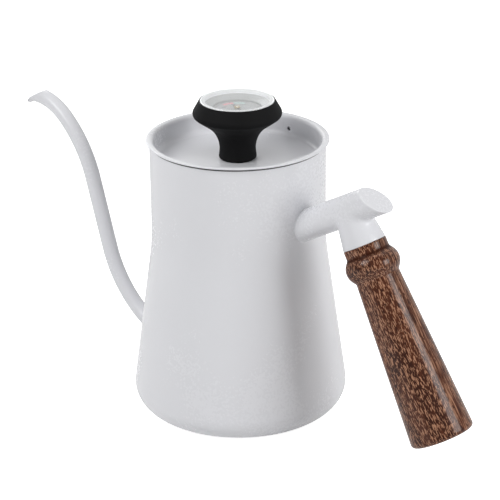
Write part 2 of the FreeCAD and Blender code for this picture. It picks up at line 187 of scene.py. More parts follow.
def finished_mesh(worked):
    """The mesh of an object with its modifiers in it. The object itself goes."""
    bpy.context.view_layer.update()
    ready = worked.evaluated_get(bpy.context.evaluated_depsgraph_get())
    mesh = bpy.data.meshes.new_from_object(ready)
    mesh.name = worked.name
    bpy.data.objects.remove(worked)
    return mesh


def drilled_mesh(mesh, place, way, radius, length):
    """The mesh with a round hole cut through it, centred on the place."""
    rings = []
    for end in (-length / 2, length / 2):
        rings.append([Vector((radius * math.cos(angle), radius * math.sin(angle), end))
                      for angle in full_turn(DRILL_TURNS)])
    drill_mesh = ring_mesh("drill", rings, False)
    along_way = way.to_track_quat("Z", "Y").to_matrix().to_4x4()
    drill_mesh.transform(Matrix.Translation(place) @ along_way)
    drill = loose_object("drill", drill_mesh)
    worked = loose_object(mesh.name, mesh)
    cut = worked.modifiers.new("hole", "BOOLEAN")
    cut.object = drill
    cut.solver = "EXACT"
    made = finished_mesh(worked)
    bpy.data.objects.remove(drill)
    return made


def set_piece(name, mesh, finishes, body, stands_for=(), sharp=35):
    """A finished piece: smooth faces, its materials, the body it rides on and what it stands for."""
    for index, material in enumerate(finishes):
        if index < len(mesh.materials):
            mesh.materials[index] = material
        else:
            mesh.materials.append(material)
    mesh.shade_smooth()
    mesh.set_sharp_from_angle(angle=math.radians(sharp))
    piece = loose_object(name, mesh)
    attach(piece, body)
    if stands_for:
        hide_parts(*stands_for)
    return piece


def finish_nodes(material, *names):
    for name in names:
        nodes[name].data.materials[0] = material


def add_node(tree, kind, values=None, **settings):
    """A node with its settings made and values put in its sockets."""
    node = tree.nodes.new(kind)
    for key, value in settings.items():
        setattr(node, key, value)
    for socket, value in (values or {}).items():
        node.inputs[socket].default_value = value
    return node


def wire(tree, *runs):
    """Links in a tree, each (from, output, to, input)."""
    for source, output, target, socket in runs:
        tree.links.new(source.outputs[output], target.inputs[socket])


def ramp(tree, value, span, result, **settings):
    """A value carried over from a span to a result, both (low, high)."""
    node = add_node(tree, "ShaderNodeMapRange", {
        "From Min": span[0], "From Max": span[1], "To Min": result[0], "To Max": result[1],
    }, **settings)
    tree.links.new(value, node.inputs["Value"])
    return node.outputs["Result"]


def new_group(name, kind, inputs, outputs):
    """An empty node group with (name, kind) sockets, its input node and its output node."""
    group = bpy.data.node_groups.new(name, kind)
    for direction, sockets in (("INPUT", inputs), ("OUTPUT", outputs)):
        for label, socket_kind in sockets:
            group.interface.new_socket(label, in_out=direction, socket_type=f"NodeSocket{socket_kind}")
    return group, add_node(group, "NodeGroupInput"), add_node(group, "NodeGroupOutput")


def grain_group():
    """Fine grain and slow clouding of a sprayed, cast or moulded surface."""
    group, given, result = new_group(
        "surface_grain", "ShaderNodeTree", [("Grain Scale", "Float"), ("Cloud Scale", "Float")],
        [("Tone", "Float"), ("Height", "Float")])
    place = add_node(group, "ShaderNodeTexCoord")
    grain = add_node(group, "ShaderNodeTexNoise", {"Detail": 2})
    cloud = add_node(group, "ShaderNodeTexNoise", {"Detail": 3})
    mixed = add_node(group, "ShaderNodeMix", {"Factor": 0.3}, data_type="FLOAT")
    wire(group,
         (place, "Object", grain, "Vector"),
         (given, "Grain Scale", grain, "Scale"),
         (place, "Object", cloud, "Vector"),
         (given, "Cloud Scale", cloud, "Scale"),
         (cloud, "Fac", mixed, "A"),
         (grain, "Fac", mixed, "B"),
         (mixed, "Result", result, "Tone"),
         (grain, "Fac", result, "Height"))
    return group


def brushing_group():
    """Fine lines round the Z axis, as turning and brushing leave them."""
    group, given, result = new_group(
        "brushed_lines", "ShaderNodeTree", [("Line Scale", "Float")], [("Line", "Float")])
    place = add_node(group, "ShaderNodeTexCoord")
    parts = add_node(group, "ShaderNodeSeparateXYZ")
    flat = add_node(group, "ShaderNodeCombineXYZ")
    radius = add_node(group, "ShaderNodeVectorMath", operation="LENGTH")
    across = add_node(group, "ShaderNodeCombineXYZ")
    lines = add_node(group, "ShaderNodeTexNoise", {"Detail": 4})
    wire(group,
         (place, "Object", parts, "Vector"),
         (parts, "X", flat, "X"),
         (parts, "Y", flat, "Y"),
         (flat, "Vector", radius, 0),
         (radius, "Value", across, "X"),
         (parts, "Z", across, "Y"),
         (across, "Vector", lines, "Vector"),
         (given, "Line Scale", lines, "Scale"),
         (lines, "Fac", result, "Line"))
    return group


SURFACE_GRAIN = grain_group()
BRUSHED_LINES = brushing_group()


def new_finish(name, values):
    """A material with values put in its shader's sockets, its node tree and its shader."""
    material = bpy.data.materials.new(name)
    material.use_nodes = True
    shader = material.node_tree.nodes["Principled BSDF"]
    for socket, value in values.items():
        shader.inputs[socket].default_value = value
    return material, material.node_tree, shader


def shade_by(tree, shader, mask, dark, light, gloss):
    """Base colour and roughness that follow a mask over the surface."""
    colour = add_node(tree, "ShaderNodeMix", {"A": dark, "B": light}, data_type="RGBA")
    tree.links.new(mask, colour.inputs["Factor"])
    wire(tree, (colour, "Result", shader, "Base Color"))
    tree.links.new(ramp(tree, mask, NOISE_SPREAD, gloss), shader.inputs["Roughness"])


def bump_by(tree, shader, height, strength, depth):
    bump = add_node(tree, "ShaderNodeBump", {"Strength": strength, "Distance": depth})
    tree.links.new(height, bump.inputs["Height"])
    wire(tree, (bump, "Normal", shader, "Normal"))


def grain_node(tree, grain, cloud):
    scales = {"Grain Scale": grain, "Cloud Scale": cloud}
    return add_node(tree, "ShaderNodeGroup", scales, node_tree=SURFACE_GRAIN)


def grained_finish(name, dark, light, gloss, grain, bump, shine=0.5):
    """A finish whose colour, gloss and skin follow the surface grain. Gloss is its (least, most)
    roughness, grain the scale of its (grain, clouds) and bump its (strength, depth)."""
    material, tree, shader = new_finish(name, {"Metallic": 0.0, "Specular IOR Level": shine})
    grained = grain_node(tree, *grain)
    shade_by(tree, shader, grained.outputs["Tone"], dark, light, gloss)
    bump_by(tree, shader, grained.outputs["Height"], *bump)
    return material


def brushed_finish(name, dark, light, gloss, line_scale):
    """A bare metal finish with lines from turning."""
    material, tree, shader = new_finish(name, {"Metallic": 1.0})
    brushed = add_node(tree, "ShaderNodeGroup", {"Line Scale": line_scale}, node_tree=BRUSHED_LINES)
    shade_by(tree, shader, brushed.outputs["Line"], dark, light, gloss)
    bump_by(tree, shader, brushed.outputs["Line"], *LINE_BUMP)
    return material


WHITE_COAT = grained_finish("white_powder_coat", COAT_SHADE, COAT_LIGHT,
                            gloss=(0.22, 0.30), grain=(900, 22), bump=(0.03, 0.02 * MM))
BARE_STEEL = brushed_finish("brushed_steel", STEEL_DARK, STEEL_LIGHT, gloss=(0.32, 0.46), line_scale=2600)
MOUTH_SHADE_FINISH = grained_finish("mouth_painted_shade", MOUTH_SHADE_DARK, MOUTH_SHADE_LIGHT,
                            gloss=(0.5, 0.65), grain=(1500, 120), bump=(0.1, 0.03 * MM))

SPOUT_R = 3.8 * MM
SPOUT_ROOT_Z = 17.3 * MM
SPOUT_ROOT_RISE = math.radians(17.4)
SPOUT_ROOT = Vector((SPOUT_ROOT_Z * FLARE_SLOPE - FOOT_R, 0, SPOUT_ROOT_Z))
SPOUT_ROOT_WAY = Vector((-math.cos(SPOUT_ROOT_RISE), 0, math.sin(SPOUT_ROOT_RISE)))
MOUTH_BAND = 1.25 * MM
body_path = rounded_outline([
    (NECK_R, BODY_H - BODY_SHEET / 2, 0),
    (NECK_R, BODY_H - MOUTH_BAND, 0),
    (NECK_R, FLARE_Z, FLARE_BLEND_R),
    (FOOT_R, 0, HEEL_R),
    (BASE_HOLE_R, 0, 0),
], turn_step=math.radians(2))
body_outline, body_skins = sheet_outline(body_path, BODY_SHEET)
# Just below the mouth the body takes the painted shade finish, a dark band for the shadow under the lid's
# rim.
MOUTH_SHADE_FROM_Z = BODY_H - 0.99 * MOUTH_BAND
MOUTH_SHADE_SKIN = 2
body_skins = [MOUTH_SHADE_SKIN if point.y > MOUTH_SHADE_FROM_Z else skin for point, skin in zip(body_outline, body_skins)]
body_mesh = turned_mesh("kettle_body", body_outline, ROUND_TURNS, body_skins)
body_mesh = drilled_mesh(body_mesh, SPOUT_ROOT, SPOUT_ROOT_WAY, SPOUT_R, 6 * SPOUT_R)
set_piece("kettle_body", body_mesh, [WHITE_COAT, BARE_STEEL, MOUTH_SHADE_FINISH], "kettle",
          ["body_shell"])


# Spout: a bent steel tube of even bore, welded into the body near its foot and coated with it. Its tip
# leans over and is cut to a slanting beak, and the cut edge is ground round.
SPOUT_BORE_R = SPOUT_R - 0.7 * MM
SPOUT_TIP_RISE = math.radians(-11.2)
SPOUT_BENDS = [
    (56.3 * MM, math.radians(73.5), 35.5 * MM),
    (60.5 * MM, math.radians(41.0), 0),
    (30.0 * MM, SPOUT_TIP_RISE, 0),
]
BEAK_SLOPE = math.radians(30)
BEAK_LIP = 1.3 * MM
BEAK_SIZE = 30 * MM
LIP_ROUND = 0.2 * MM
LIP_BEND = 5.0 * MM
LIP_DROOP = 0.9 * MM
LIP_SHARP = math.radians(50)
LIP_FACES = 3
BORE_OVERRUN = 1 * MM
SPOUT_SIDES = 48
WELL_SIDES = 256
WELD_FACES = 10
WELD_TURNS = 96
WELD_ROOT = 0.3 * MM
SEARCH_STEPS = 40
SLOPE_STEP = 0.01 * MM


def bent_route(start, rise, bends, turn_step=math.radians(1.5)):
    """Points of a tube's middle line through (radius, new rise, run) bends, in the XZ plane."""
    points = [start]
    for radius, new_rise, run in bends:
        inward = Vector((math.sin(rise), 0, math.cos(rise))) * math.copysign(radius, new_rise - rise)
        centre = points[-1] + inward
        steps = math.ceil(abs(new_rise - rise) / turn_step)
        for step in range(1, steps + 1):
            arm = -inward
            arm.rotate(Matrix.Rotation((new_rise - rise) * step / steps, 3, "Y"))
            points.append(centre + arm)
        rise = new_rise
        if run:
            points.append(points[-1] + Vector((-math.cos(rise), 0, math.sin(rise))) * run)
    return points


def tube_group():
    """A tube along a curve, with its end cut slanting and its root cut flush with a flared wall."""
    group, given, result = new_group(
        "bent_tube", "GeometryNodeTree",
        [("Route", "Geometry"), ("Outside Radius", "Float"), ("Bore Radius", "Float"), ("Sides", "Int"),
         ("Beak Middle", "Vector"), ("Beak Turn", "Vector"), ("Beak Size", "Vector"),
         ("Well Bottom", "Float"), ("Well Top", "Float"), ("Well Depth", "Float"), ("Finish", "Material")],
        [("Tube", "Geometry")])

    def swept(line, socket, radius):
        section = add_node(group, "GeometryNodeCurvePrimitiveCircle", mode="RADIUS")
        sweep = add_node(group, "GeometryNodeCurveToMesh", {"Fill Caps": True})
        wire(group,
             (given, "Sides", section, "Resolution"),
             (given, radius, section, "Radius"),
             (line, socket, sweep, "Curve"),
             (section, "Curve", sweep, "Profile Curve"))
        return sweep

    tip = add_node(group, "GeometryNodeCurveEndpointSelection", {"Start Size": 0})
    tangent = add_node(group, "GeometryNodeInputTangent")
    stretch = add_node(group, "ShaderNodeVectorMath", {"Scale": BORE_OVERRUN}, operation="SCALE")
    longer = add_node(group, "GeometryNodeSetPosition")
    beak = add_node(group, "GeometryNodeMeshCube")
    beak_place = add_node(group, "GeometryNodeTransform")
    well = add_node(group, "GeometryNodeMeshCone", {"Vertices": WELL_SIDES})
    cut = add_node(group, "GeometryNodeMeshBoolean", operation="DIFFERENCE", solver="EXACT")
    whole = add_node(group, "GeometryNodeRealizeInstances")
    painted = add_node(group, "GeometryNodeSetMaterial")
    wire(group,
         (tangent, "Tangent", stretch, 0),
         (given, "Route", longer, "Geometry"),
         (tip, "Selection", longer, "Selection"),
         (stretch, "Vector", longer, "Offset"),
         (given, "Beak Size", beak, "Size"),
         (beak, "Mesh", beak_place, "Geometry"),
         (given, "Beak Middle", beak_place, "Translation"),
         (given, "Beak Turn", beak_place, "Rotation"),
         (given, "Well Top", well, "Radius Top"),
         (given, "Well Bottom", well, "Radius Bottom"),
         (given, "Well Depth", well, "Depth"),
         (swept(given, "Route", "Outside Radius"), "Mesh", cut, "Mesh 1"),
         (swept(longer, "Geometry", "Bore Radius"), "Mesh", cut, "Mesh 2"),
         (beak_place, "Geometry", cut, "Mesh 2"),
         (well, "Mesh", cut, "Mesh 2"),
         (cut, "Mesh", whole, "Geometry"),
         (whole, "Geometry", painted, "Geometry"),
         (given, "Finish", painted, "Material"),
         (painted, "Geometry", result, "Tube"))
    return group


def grown_mesh(worked, group, values):
    """The mesh that a node tree makes on an object, with the tree's inputs set by their sockets."""
    grower = worked.modifiers.new(group.name, "NODES")
    grower.node_group = group
    for item in group.interface.items_tree:
        if item.name in values:
            grower[item.identifier] = values[item.name]
    return finished_mesh(worked)


spout_points = bent_route(SPOUT_ROOT, SPOUT_ROOT_RISE, SPOUT_BENDS)
spout_points.insert(0, SPOUT_ROOT - SPOUT_ROOT_WAY * 3 * SPOUT_R)
spout_curve = bpy.data.curves.new("spout_route", "CURVE")
spout_curve.dimensions = "3D"
spout_line = spout_curve.splines.new("POLY")
spout_line.points.add(len(spout_points) - 1)
for curve_point, place in zip(spout_line.points, spout_points):
    curve_point.co = (*place, 1)
tip_up = Vector((math.sin(SPOUT_TIP_RISE), 0, math.cos(SPOUT_TIP_RISE)))
beak_way = Vector((-math.sin(BEAK_SLOPE), 0, math.cos(BEAK_SLOPE)))
beak_edge = spout_points[-1] + tip_up * (BEAK_LIP - SPOUT_R)
well_bottom = FOOT_R - BODY_SHEET * math.sqrt(1 + FLARE_SLOPE ** 2)
well_depth = 3 * SPOUT_ROOT_Z
spout_mesh = grown_mesh(loose_object("spout", spout_curve), tube_group(), {
    "Outside Radius": SPOUT_R,
    "Bore Radius": SPOUT_BORE_R,
    "Sides": SPOUT_SIDES,
    "Beak Middle": beak_edge + beak_way * BEAK_SIZE / 2,
    "Beak Turn": (0, -BEAK_SLOPE, 0),
    "Beak Size": [BEAK_SIZE] * 3,
    "Well Bottom": well_bottom,
    "Well Top": well_bottom - well_depth * FLARE_SLOPE,
    "Well Depth": well_depth,
    "Finish": WHITE_COAT,
})
lip_work = loose_object(spout_mesh.name, spout_mesh)
lip_bevel = lip_work.modifiers.new("edge_round", "BEVEL")
lip_bevel.width = LIP_ROUND
lip_bevel.segments = LIP_FACES
lip_bevel.limit_method = "ANGLE"
lip_bevel.angle_limit = LIP_SHARP
spout_mesh = finished_mesh(lip_work)
lip_start = spout_points[-1].x + LIP_BEND
for vert in spout_mesh.vertices:
    droop = LIP_DROOP * (max(lip_start - vert.co.x, 0) / LIP_BEND) ** 2
    vert.co.z -= droop
    vert.co.x += droop
set_piece("spout", spout_mesh, [WHITE_COAT], "kettle", ["spout_tube"])


def side_of(place, way, radius_at):
    """Points on the side of a straight tube or cone, by the angle round it and the length along it."""
    first = Vector((0, 1, 0))
    second = way.cross(first)

    def point(angle, along):
        arm = first * math.cos(angle) + second * math.sin(angle)
        return place + way * along + arm * radius_at(along)

    return point


def leaves_at(side, angle, skin, inside, outside):
    """The length along a tube's side at which it comes out of a skin."""
    for _ in range(SEARCH_STEPS):
        middle = (inside + outside) / 2
        if skin(side(angle, middle)) < 0:
            inside = middle
        else:
            outside = middle
    return outside


def skin_way(skin, point):
    """The direction in which a skin faces at a point."""
    slopes = []
    for axis in range(3):
        shift = Vector()
        shift[axis] = SLOPE_STEP
        slopes.append(skin(point + shift) - skin(point - shift))
    return Vector(slopes).normalized()


def add_weld(name, side, skin, inside, outside, width):
    """A ground weld: a hollow fillet round a tube where it comes out of a skin."""
    angles = full_turn(WELD_TURNS)
    lengths = [leaves_at(side, angle, skin, inside, outside) for angle in angles]
    corners = [side(angle, length) for angle, length in zip(angles, lengths)]
    facing = [skin_way(skin, corner) for corner in corners]
    outs = []
    for turn in range(WELD_TURNS):
        seam = corners[(turn + 1) % WELD_TURNS] - corners[turn - 1]
        outs.append(facing[turn].cross(seam).normalized())
    arms = [(side(angle, length) - side(angle + math.pi, length)).normalized()
            for angle, length in zip(angles, lengths)]
    if sum(out.dot(arm) for out, arm in zip(outs, arms)) < 0:
        outs = [-out for out in outs]
    rings = []
    for turn, corner in enumerate(corners):
        on_tube = side(angles[turn], lengths[turn] + width)
        on_skin = corner + outs[turn] * width
        for _ in range(3):
            on_skin -= skin_way(skin, on_skin) * skin(on_skin)
        hollow = []
        for step in range(WELD_FACES + 1):
            part = step / WELD_FACES
            hollow.append(on_tube.lerp(corner, part).lerp(corner.lerp(on_skin, part), part))
        hidden = corner - (facing[turn] + arms[turn]) * WELD_ROOT
        rings.append(hollow + [hidden])
    set_piece(name, ring_mesh(name, rings, True), [WHITE_COAT], "kettle")


def body_skin(point):
    """How far a point is outside the body's coat, on the neck or the straight flare."""
    wall_r = max(NECK_R, FOOT_R - point.z * FLARE_SLOPE)
    return (math.hypot(point.x, point.y) - wall_r) / math.sqrt(1 + FLARE_SLOPE ** 2)


SPOUT_WELD = 1.6 * MM
SPOUT_INSIDE, SPOUT_OUTSIDE = -6 * MM, 8 * MM
spout_root_side = side_of(SPOUT_ROOT, SPOUT_ROOT_WAY, lambda along: SPOUT_R)
add_weld("spout_weld", spout_root_side, body_skin, SPOUT_INSIDE, SPOUT_OUTSIDE, SPOUT_WELD)


# Handle post: a short steel tube that climbs away from the neck. An oval plate closes its slanting end,
# welded in and ground flush, and the post is welded to the neck and coated with the body.
POST_R = 7.05 * MM
POST_RISE = math.radians(29)
POST_LENGTH = 45.5 * MM
POST_FACE_TILT = math.radians(37)
POST_ROOT = Vector((NECK_R, 0, BODY_H - 32.2 * MM))
POST_WAY = rising_way(POST_RISE)
POST_FACE_WAY = rising_way(POST_RISE + POST_FACE_TILT)
POST_FACE_MIDDLE = POST_ROOT + POST_WAY * POST_LENGTH
POST_RIM_ROUND = 0.9 * MM
POST_WELD = 0.35 * MM
POST_INSIDE, POST_OUTSIDE = -8 * MM, 10 * MM
POST_HOOPS = (8 * MM, 16 * MM, 24 * MM, 32 * MM)
POST_TURNS = 96
RIM_STEPS = 6
SUNK = 0.35 * MM

post_side = side_of(POST_ROOT, POST_WAY, lambda along: POST_R)
post_turns = full_turn(POST_TURNS)


def post_rim(turn, part):
    """A point of the rounded rim of the slanting end, from the tube's side to its face."""
    foot = post_side(turn, 0)
    reach = (POST_FACE_MIDDLE - foot).dot(POST_FACE_WAY) / POST_WAY.dot(POST_FACE_WAY)
    edge = foot + POST_WAY * reach
    below = edge - POST_WAY * POST_RIM_ROUND
    within = edge + (POST_FACE_MIDDLE - edge).normalized() * POST_RIM_ROUND
    return below.lerp(edge, part).lerp(edge.lerp(within, part), part)


post_roots = [leaves_at(post_side, turn, body_skin, POST_INSIDE, POST_OUTSIDE) - SUNK
              for turn in post_turns]
post_rings = [[post_side(turn, root) for turn, root in zip(post_turns, post_roots)]]
post_rings += [[post_side(turn, along) for turn in post_turns] for along in POST_HOOPS]
post_rings += [[post_rim(turn, step / RIM_STEPS) for turn in post_turns] for step in range(RIM_STEPS + 1)]
for part in (0.1, 0.5):
    post_rings.append([post_rim(turn, 1).lerp(POST_FACE_MIDDLE, part) for turn in post_turns])
post_mesh = ring_mesh("handle_post_tube", post_rings, False)
set_piece("handle_post_tube", post_mesh, [WHITE_COAT], "kettle",
          ["handle_post", "post_end_plate"])
add_weld("post_weld", post_side, body_skin, POST_INSIDE, POST_OUTSIDE, POST_WELD)


# Ferrule: a steel cone welded under the post with a wide, ground fillet. A disc in its lower end carries
# the stud that the grip is screwed to, and the wood butts against its edge.
GRIP_CROSS = POST_ROOT + POST_WAY * 29.2 * MM
GRIP_FALL = math.radians(29.6 - 90)
GRIP_WAY = rising_way(GRIP_FALL)
FERRULE_LENGTH = 16.5 * MM
FERRULE_TOP_R = 7.3 * MM
FERRULE_END_R = 9.95 * MM
FERRULE_WELD = 2.6 * MM
FERRULE_EDGE = 0.4 * MM
FERRULE_HOOPS = 4
EDGE_STEPS = 3


def post_skin(point):
    """How far a point is outside the post's coat."""
    return (point - POST_ROOT).cross(POST_WAY).length - POST_R


def ferrule_radius(along):
    part = along / FERRULE_LENGTH
    return FERRULE_TOP_R + (FERRULE_END_R - FERRULE_TOP_R) * part


ferrule_side = side_of(GRIP_CROSS, GRIP_WAY, ferrule_radius)
ferrule_tops = [leaves_at(ferrule_side, turn, post_skin, 0, FERRULE_LENGTH) - SUNK for turn in post_turns]
ferrule_low = FERRULE_LENGTH - FERRULE_EDGE
ferrule_rings = []
for hoop in range(FERRULE_HOOPS + 1):
    part = hoop / FERRULE_HOOPS
    ferrule_rings.append([ferrule_side(turn, top + (ferrule_low - top) * part)
                          for turn, top in zip(post_turns, ferrule_tops)])
FERRULE_END = GRIP_CROSS + GRIP_WAY * FERRULE_LENGTH
for round_turn in quarter_turn(EDGE_STEPS):
    drop = FERRULE_EDGE * (math.sin(round_turn) - 1)
    inset = FERRULE_EDGE * (1 - math.cos(round_turn)) / FERRULE_END_R
    edge_ring = [ferrule_side(turn, FERRULE_LENGTH + drop) for turn in post_turns]
    ferrule_rings.append([point.lerp(FERRULE_END + GRIP_WAY * drop, inset) for point in edge_ring])
ferrule_mesh = ring_mesh("ferrule", ferrule_rings, False)
set_piece("ferrule", ferrule_mesh, [WHITE_COAT], "kettle", ["grip_ferrule"])
add_weld("ferrule_weld", ferrule_side, post_skin, 0, FERRULE_LENGTH, FERRULE_WELD)
finish_nodes(BARE_STEEL, "ferrule_disc", "grip_stud")


# Grip: one length of dark, flecked hardwood, turned with a collar, a bead and a shaft that swells to a
# rounded butt, then lacquered. It is screwed to the stud by a brass insert glued into its bore.
GRIP_LENGTH = 92.0 * MM
COLLAR_R = 9.95 * MM
BEAD_R = 12.45 * MM
BEAD_MIDDLE = 9.9 * MM
BEAD_ROUND = 7.0 * MM
BEAD_BLEND = 0.9 * MM
WAIST_R = 9.1 * MM
BUTT_R = 14.7 * MM
BUTT_ROUND = 1.9 * MM
BUTT_CROWN = 1.2 * MM
CREASE_AT = 4.5 * MM
CREASE_WIDTH = 1.5 * MM
COLLAR_EDGE = 0.5 * MM
BRASS_DARK = (0.50, 0.34, 0.12, 1)
BRASS_LIGHT = (0.72, 0.54, 0.24, 1)
WOOD_DARK = (0.036, 0.008, 0.003, 1)
WOOD_BROWN = (0.085, 0.022, 0.008, 1)
WOOD_FLECK = (0.44, 0.22, 0.13, 1)
STRAIGHT_GRAIN = 2.0 * MM
FLECKED_GRAIN = 6.0 * MM
FLECK_LEAN = (-0.12, -0.11, 0)
WOOD_GLOSS = (0.34, 0.46)
# How dark the crease gets: partly stain, partly painted shade for the cove.
CREASE_STAIN_AND_SHADE = 0.9
LACQUER = 0.48
PORE_BUMP = (0.25, -0.05 * MM)
COLLAR_STEPS = 4
SHAFT_STEPS = 190
BUTT_STEPS = 9
CROWN_STEPS = 6
GRIP_TURNS = 128


def grip_radius(along):
    """The turned profile: a bead that runs into the collar above it and the shaft below it."""
    shaft = WAIST_R + (BUTT_R - WAIST_R) * along / GRIP_LENGTH
    plain = COLLAR_R if along < BEAD_MIDDLE else shaft
    half = BEAD_ROUND ** 2 - (along - BEAD_MIDDLE) ** 2
    bead = BEAD_R - BEAD_ROUND + math.sqrt(half) if half > 0 else 0
    gap = max(BEAD_BLEND - abs(plain - bead), 0) / BEAD_BLEND
    return max(plain, bead) + gap * gap * BEAD_BLEND / 4


grip_path = [Vector((0, 0)), Vector((COLLAR_R - COLLAR_EDGE, 0))]
for turn in quarter_turn(COLLAR_STEPS):
    edge_r = COLLAR_R - COLLAR_EDGE * (1 - math.sin(turn))
    grip_path.append(Vector((edge_r, COLLAR_EDGE * (1 - math.cos(turn)))))
shaft_end = GRIP_LENGTH - BUTT_ROUND
for step in range(1, SHAFT_STEPS + 1):
    along = COLLAR_EDGE + (shaft_end - COLLAR_EDGE) * step / SHAFT_STEPS
    grip_path.append(Vector((grip_radius(along), along)))
butt_r = grip_path[-1].x - BUTT_ROUND
for turn in quarter_turn(BUTT_STEPS):
    round_r = butt_r + BUTT_ROUND * math.cos(turn)
    grip_path.append(Vector((round_r, shaft_end + BUTT_ROUND * math.sin(turn))))
for step in range(1, CROWN_STEPS + 1):
    part = 1 - step / CROWN_STEPS
    grip_path.append(Vector((butt_r * part, GRIP_LENGTH + BUTT_CROWN * (1 - part * part))))
grip_mesh = turned_mesh("wood_handle", grip_path, GRIP_TURNS)
grip_turn = GRIP_WAY.to_track_quat("Z", "Y")
grip_mesh.transform(Matrix.Translation(FERRULE_END) @ grip_turn.to_matrix().to_4x4())


def wood_finish():
    """Lacquered wood: bands under flecks on two faces and streaks between them, and open pores."""
    material, tree, shader = new_finish("lacquered_hardwood", {
        "Metallic": 0.0, "Specular IOR Level": 0.03, "Coat Roughness": 0.16,
    })
    link = tree.links.new
    place = add_node(tree, "ShaderNodeTexCoord")
    along_grip = add_node(tree, "ShaderNodeMapping", {
        "Location": FERRULE_END, "Rotation": grip_turn.to_euler(),
    }, vector_type="TEXTURE")
    parts = add_node(tree, "ShaderNodeSeparateXYZ")
    wire(tree, (place, "Object", along_grip, "Vector"), (along_grip, "Vector", parts, "Vector"))

    def grain(size, detail, lean=(0, 0, 0), warp=0.0):
        stretch = add_node(tree, "ShaderNodeMapping", {
            "Scale": Vector(size) * MM, "Rotation": lean,
        }, vector_type="TEXTURE")
        noise = add_node(tree, "ShaderNodeTexNoise", {
            "Scale": 1.0, "Detail": detail, "Roughness": 0.6, "Distortion": warp,
        })
        wire(tree, (along_grip, "Vector", stretch, "Vector"), (stretch, "Vector", noise, "Vector"))
        return noise.outputs["Fac"]

    def narrowed(value, low, high, result=(0, 1)):
        return ramp(tree, value, (low, high), result, interpolation_type="SMOOTHSTEP")

    def mixed(factor, first, second):
        mix = add_node(tree, "ShaderNodeMix", data_type="RGBA")
        link(factor, mix.inputs["Factor"])
        for socket, colour in (("A", first), ("B", second)):
            if isinstance(colour, tuple):
                mix.inputs[socket].default_value = colour
            else:
                link(colour, mix.inputs[socket])
        return mix.outputs["Result"]

    def distance(axis, start):
        away = add_node(tree, "ShaderNodeMath", {1: start}, operation="SUBTRACT")
        link(parts.outputs[axis], away.inputs[0])
        size = add_node(tree, "ShaderNodeMath", operation="ABSOLUTE")
        link(away.outputs[0], size.inputs[0])
        return size.outputs[0]

    bands = narrowed(grain((3.8, 11, 110), 3, warp=0.6), 0.38, 0.62)
    ground = mixed(bands, WOOD_DARK, WOOD_BROWN)
    flecks = narrowed(grain((0.44, 0.44, 2.9), 1, lean=FLECK_LEAN, warp=0.1), 0.52, 0.575)
    streaks = narrowed(grain((0.67, 1.1, 14), 3), 0.42, 0.68)
    pores = narrowed(grain((0.53, 0.53, 2.6), 1), 0.57, 0.65)
    face = narrowed(distance("X", 0), STRAIGHT_GRAIN, FLECKED_GRAIN)
    figure = add_node(tree, "ShaderNodeMix", data_type="FLOAT")
    for socket, value in (("Factor", face), ("A", streaks), ("B", flecks)):
        link(value, figure.inputs[socket])
    flecked = mixed(figure.outputs["Result"], ground, WOOD_FLECK)
    pored = mixed(pores, flecked, WOOD_DARK)
    # Stain and painted shade: the wood darkens towards the crease between collar and bead, standing in for
    # the shade in the cove, and the lacquer thins out there.
    stain_and_shade = narrowed(distance("Z", CREASE_AT), 0, CREASE_WIDTH, (CREASE_STAIN_AND_SHADE, 0))
    link(mixed(stain_and_shade, pored, WOOD_DARK), shader.inputs["Base Color"])
    link(ramp(tree, figure.outputs["Result"], (0, 1), WOOD_GLOSS), shader.inputs["Roughness"])
    link(ramp(tree, stain_and_shade, (0, 1), (LACQUER, 0)), shader.inputs["Coat Weight"])
    bump_by(tree, shader, pores, *PORE_BUMP)
    return material


set_piece("wood_handle", grip_mesh, [wood_finish()], "kettle", ["wood_grip"])
BRASS = brushed_finish("turned_brass", BRASS_DARK, BRASS_LIGHT, gloss=(0.2, 0.34), line_scale=3200)
finish_nodes(BRASS, "grip_insert")
finish_nodes(BARE_STEEL, "base_plate")


# Lid: a pressed steel dish that hangs in the mouth by its rolled rim, coated white on top and left bare
# below. A small vent is drilled through its wall at the back.
LID_SHEET = 0.7 * MM
LID_BORE_R = 4.05 * MM
DISH_R = 38.5 * MM
DISH_FLOOR_Z = BODY_H + LID_SHEET - 9.8 * MM
DISH_ROUND = 2.5 * MM
RIM_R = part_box("lid_pan")[1].x
RIM_TOP_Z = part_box("lid_pan")[1].z
RIM_EDGE = 0.45 * MM
RIM_INNER_ROUND = 1.8 * MM
VENT_R = 1.0 * MM
VENT_TURN = math.radians(93)
VENT_Z = DISH_FLOOR_Z + 3.4 * MM
VENT_DRILL = 4 * MM
LID_STEP = math.radians(7)
COATED_UNDER = 12

LID_BORE_EDGE = LID_BORE_R + LID_SHEET / 2
RIM_MIDDLE_Z = RIM_TOP_Z - RIM_EDGE
upper_side = rounded_outline([
    (LID_BORE_EDGE, DISH_FLOOR_Z, 0),
    (DISH_R, DISH_FLOOR_Z, DISH_ROUND),
    (DISH_R, RIM_TOP_Z, RIM_INNER_ROUND),
    (RIM_R, RIM_TOP_Z, RIM_EDGE),
    (RIM_R, RIM_MIDDLE_Z, 0),
], turn_step=LID_STEP)
under_side = rounded_outline([
    (RIM_R, RIM_MIDDLE_Z, 0),
    (RIM_R, RIM_MIDDLE_Z - RIM_EDGE, RIM_EDGE),
    (NECK_R + LID_SHEET, RIM_MIDDLE_Z - RIM_EDGE, 0),
    (NECK_R + LID_SHEET / 2, RIM_TOP_Z - LID_SHEET, 0),
    (DISH_R + LID_SHEET, RIM_TOP_Z - LID_SHEET, LID_SHEET / 2),
    (DISH_R + LID_SHEET, DISH_FLOOR_Z - LID_SHEET, DISH_ROUND + LID_SHEET),
    (LID_BORE_EDGE, DISH_FLOOR_Z - LID_SHEET, 0),
], turn_step=LID_STEP)
bore_edge = rolled_edge(under_side[-1], upper_side[0], Vector((-1, 0)))
lid_outline = upper_side + under_side[1:] + bore_edge
